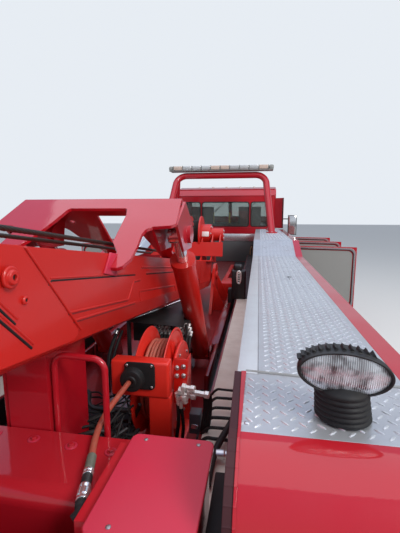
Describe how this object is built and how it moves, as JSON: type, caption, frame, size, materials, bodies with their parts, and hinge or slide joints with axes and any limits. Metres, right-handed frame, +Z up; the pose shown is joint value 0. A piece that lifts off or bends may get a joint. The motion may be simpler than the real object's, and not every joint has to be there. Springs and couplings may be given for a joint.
{
  "type": "tow truck",
  "caption": "Heavy recovery truck with an open toolbox body, a telescopic boom on lift cylinders, a lamp arch and a folding wheel lift.",
  "frame": {"origin": "on the ground, midway along the truck's length and across its width", "axes": "+X to the truck's right, +Y to its front, +Z up"},
  "size_m": [4.2436, 11.3946, 2.9475],
  "materials": {
    "red_paint": "gloss red paint",
    "chrome": "bright chrome",
    "black_metal": "black chassis paint",
    "tread_plate": "bright raised tread plate",
    "tyre": "black tyre rubber",
    "rubber": "black rubber",
    "glass": "tinted glass",
    "aluminium": "polished aluminium",
    "interior": "dark grey trim",
    "light_grey": "light grey paint",
    "clear_lens": "clear ribbed lens",
    "hose_red": "red rubber hose",
    "steel": "plain steel"
  },
  "bodies": {
    "chassis": {"chassis_frame": "black_metal", "engine_block": "steel", "axles": "black_metal", "cab_shell": "red_paint", "cab_glass": "glass", "cab_interior": "interior", "front_bumper": "chrome", "fuel_tanks": "chrome", "deck": "light_grey", "boom_pedestal": "red_paint", "tool_body_right": "red_paint", "tool_body_left": "red_paint", "tread_plates": "tread_plate", "deck_box": "red_paint", "hose_reels": "red_paint", "valve_bank": "steel", "lamp_cluster": "clear_lens", "light_arch": "red_paint", "light_bar": "clear_lens", "mirrors": "rubber", "air_hose": "hose_red", "hose_coupler": "chrome"},
    "hood": {"hood": "red_paint", "grille": "chrome"},
    "boom": {"boom_outer": "red_paint", "boom_yoke": "red_paint", "winches": "red_paint"},
    "boom_stage": {"boom_stage": "red_paint"},
    "wheel_lift": {"lift_arm": "red_paint"},
    "wheel_lift_inner": {"lift_arm_inner": "red_paint"},
    "crossbar": {"lift_crossbar": "red_paint"},
    "knuckle_left": {"knuckle_left": "black_metal"},
    "front_wheel_left": {"front_tyre_left": "tyre", "front_rim_left": "aluminium"},
    "rear_wheels_1_left": {"rear_tyres_1_left": "tyre", "rear_rims_1_left": "aluminium"},
    "rear_wheels_2_left": {"rear_tyres_2_left": "tyre", "rear_rims_2_left": "aluminium"},
    "box_door_1_left": {"box_door_1_left": "red_paint"},
    "box_door_2_left": {"box_door_2_left": "red_paint"},
    "box_door_3_left": {"box_door_3_left": "red_paint"},
    "cab_door_left": {"cab_door_left": "red_paint", "cab_door_glass_left": "glass"},
    "lift_barrel_left": {"lift_barrel_left": "red_paint"},
    "lift_rod_left": {"lift_rod_left": "chrome"},
    "knuckle_right": {"knuckle_right": "black_metal"},
    "front_wheel_right": {"front_tyre_right": "tyre", "front_rim_right": "aluminium"},
    "rear_wheels_1_right": {"rear_tyres_1_right": "tyre", "rear_rims_1_right": "aluminium"},
    "rear_wheels_2_right": {"rear_tyres_2_right": "tyre", "rear_rims_2_right": "aluminium"},
    "box_door_1_right": {"box_door_1_right": "red_paint"},
    "box_door_2_right": {"box_door_2_right": "red_paint"},
    "box_door_3_right": {"box_door_3_right": "red_paint"},
    "cab_door_right": {"cab_door_right": "red_paint", "cab_door_glass_right": "glass"},
    "lift_barrel_right": {"lift_barrel_right": "red_paint"},
    "lift_rod_right": {"lift_rod_right": "chrome"}
  },
  "joints": [
    {"name": "steer_left", "type": "hinge", "parent": "chassis", "child": "knuckle_left", "pos_m": [-0.85, 4.72, 0.525], "axis": [0, 0, 1], "range_deg": [-35, 35]},
    {"name": "front_wheel_left_spin", "type": "hinge", "parent": "knuckle_left", "child": "front_wheel_left", "pos_m": [-1.035, 4.72, 0.525], "axis": [1, 0, 0], "continuous": true},
    {"name": "rear_wheels_1_left_spin", "type": "hinge", "parent": "chassis", "child": "rear_wheels_1_left", "pos_m": [-0.89, -3.28, 0.525], "axis": [1, 0, 0], "continuous": true},
    {"name": "rear_wheels_2_left_spin", "type": "hinge", "parent": "chassis", "child": "rear_wheels_2_left", "pos_m": [-0.89, -1.92, 0.525], "axis": [1, 0, 0], "continuous": true},
    {"name": "box_door_1_left_hinge", "type": "hinge", "parent": "chassis", "child": "box_door_1_left", "pos_m": [-1.234, 0.294, 1.145], "axis": [0, 0, -1], "range_deg": [-80, 10]},
    {"name": "box_door_2_left_hinge", "type": "hinge", "parent": "chassis", "child": "box_door_2_left", "pos_m": [-1.234, 1.274, 1.145], "axis": [0, 0, -1], "range_deg": [-80, 10]},
    {"name": "box_door_3_left_hinge", "type": "hinge", "parent": "chassis", "child": "box_door_3_left", "pos_m": [-1.234, 2.254, 1.145], "axis": [0, 0, -1], "range_deg": [-80, 10]},
    {"name": "cab_door_left_hinge", "type": "hinge", "parent": "chassis", "child": "cab_door_left", "pos_m": [-1.084, 3.703, 1.8], "axis": [0, 0, -1], "range_deg": [0, 65]},
    {"name": "lift_barrel_left_pivot", "type": "hinge", "parent": "chassis", "child": "lift_barrel_left", "pos_m": [-0.345, -2.904, 1.135], "axis": [-1, 0, 0], "range_deg": [0, 34]},
    {"name": "lift_rod_left_slide", "type": "slide", "parent": "lift_barrel_left", "child": "lift_rod_left", "axis": [0, -0.6291, 0.7773], "range_m": [0, 0.72]},
    {"name": "steer_right", "type": "hinge", "parent": "chassis", "child": "knuckle_right", "pos_m": [0.85, 4.72, 0.525], "axis": [0, 0, 1], "range_deg": [-35, 35]},
    {"name": "front_wheel_right_spin", "type": "hinge", "parent": "knuckle_right", "child": "front_wheel_right", "pos_m": [1.035, 4.72, 0.525], "axis": [1, 0, 0], "continuous": true},
    {"name": "rear_wheels_1_right_spin", "type": "hinge", "parent": "chassis", "child": "rear_wheels_1_right", "pos_m": [0.89, -3.28, 0.525], "axis": [1, 0, 0], "continuous": true},
    {"name": "rear_wheels_2_right_spin", "type": "hinge", "parent": "chassis", "child": "rear_wheels_2_right", "pos_m": [0.89, -1.92, 0.525], "axis": [1, 0, 0], "continuous": true},
    {"name": "box_door_1_right_hinge", "type": "hinge", "parent": "chassis", "child": "box_door_1_right", "pos_m": [1.234, 0.294, 1.145], "axis": [0, 0, 1], "range_deg": [-80, 10]},
    {"name": "box_door_2_right_hinge", "type": "hinge", "parent": "chassis", "child": "box_door_2_right", "pos_m": [1.234, 1.274, 1.145], "axis": [0, 0, 1], "range_deg": [-80, 10]},
    {"name": "box_door_3_right_hinge", "type": "hinge", "parent": "chassis", "child": "box_door_3_right", "pos_m": [1.234, 2.254, 1.145], "axis": [0, 0, 1], "range_deg": [-80, 10]},
    {"name": "cab_door_right_hinge", "type": "hinge", "parent": "chassis", "child": "cab_door_right", "pos_m": [1.084, 3.703, 1.8], "axis": [0, 0, 1], "range_deg": [0, 65]},
    {"name": "lift_barrel_right_pivot", "type": "hinge", "parent": "chassis", "child": "lift_barrel_right", "pos_m": [0.345, -2.904, 1.135], "axis": [-1, 0, 0], "range_deg": [0, 34]},
    {"name": "lift_rod_right_slide", "type": "slide", "parent": "lift_barrel_right", "child": "lift_rod_right", "axis": [0, -0.6291, 0.7773], "range_m": [0, 0.72]},
    {"name": "boom_luff", "type": "hinge", "parent": "chassis", "child": "boom", "pos_m": [0, -1.3, 1.389], "axis": [-1, 0, 0], "range_deg": [0, 26]},
    {"name": "boom_extend", "type": "slide", "parent": "boom", "child": "boom_stage", "axis": [0, -0.9889, 0.1483], "range_m": [0, 2]},
    {"name": "hood_tilt", "type": "hinge", "parent": "chassis", "child": "hood", "pos_m": [0, 5.37, 0.8], "axis": [-1, 0, 0], "range_deg": [0, 70]},
    {"name": "wheel_lift_fold", "type": "hinge", "parent": "chassis", "child": "wheel_lift", "pos_m": [0, -4.79, 0.64], "axis": [1, 0, 0], "range_deg": [0, 92]},
    {"name": "wheel_lift_extend", "type": "slide", "parent": "wheel_lift", "child": "wheel_lift_inner", "axis": [0, 0, 1], "range_m": [0, 0.35]},
    {"name": "crossbar_swivel", "type": "hinge", "parent": "wheel_lift_inner", "child": "crossbar", "pos_m": [0, -4.92, 1.31], "axis": [0, 1, 0], "range_deg": [-25, 25]}
  ],
  "couplings": [
    {"joint": "steer_right", "follows": "steer_left", "ratio": 1},
    {"joint": "lift_barrel_left_pivot", "follows": "boom_luff", "ratio": 1.277},
    {"joint": "lift_rod_left_slide", "follows": "boom_luff", "m_per_rad": 1.553},
    {"joint": "lift_barrel_right_pivot", "follows": "boom_luff", "ratio": 1.277},
    {"joint": "lift_rod_right_slide", "follows": "boom_luff", "m_per_rad": 1.553}
  ]
}
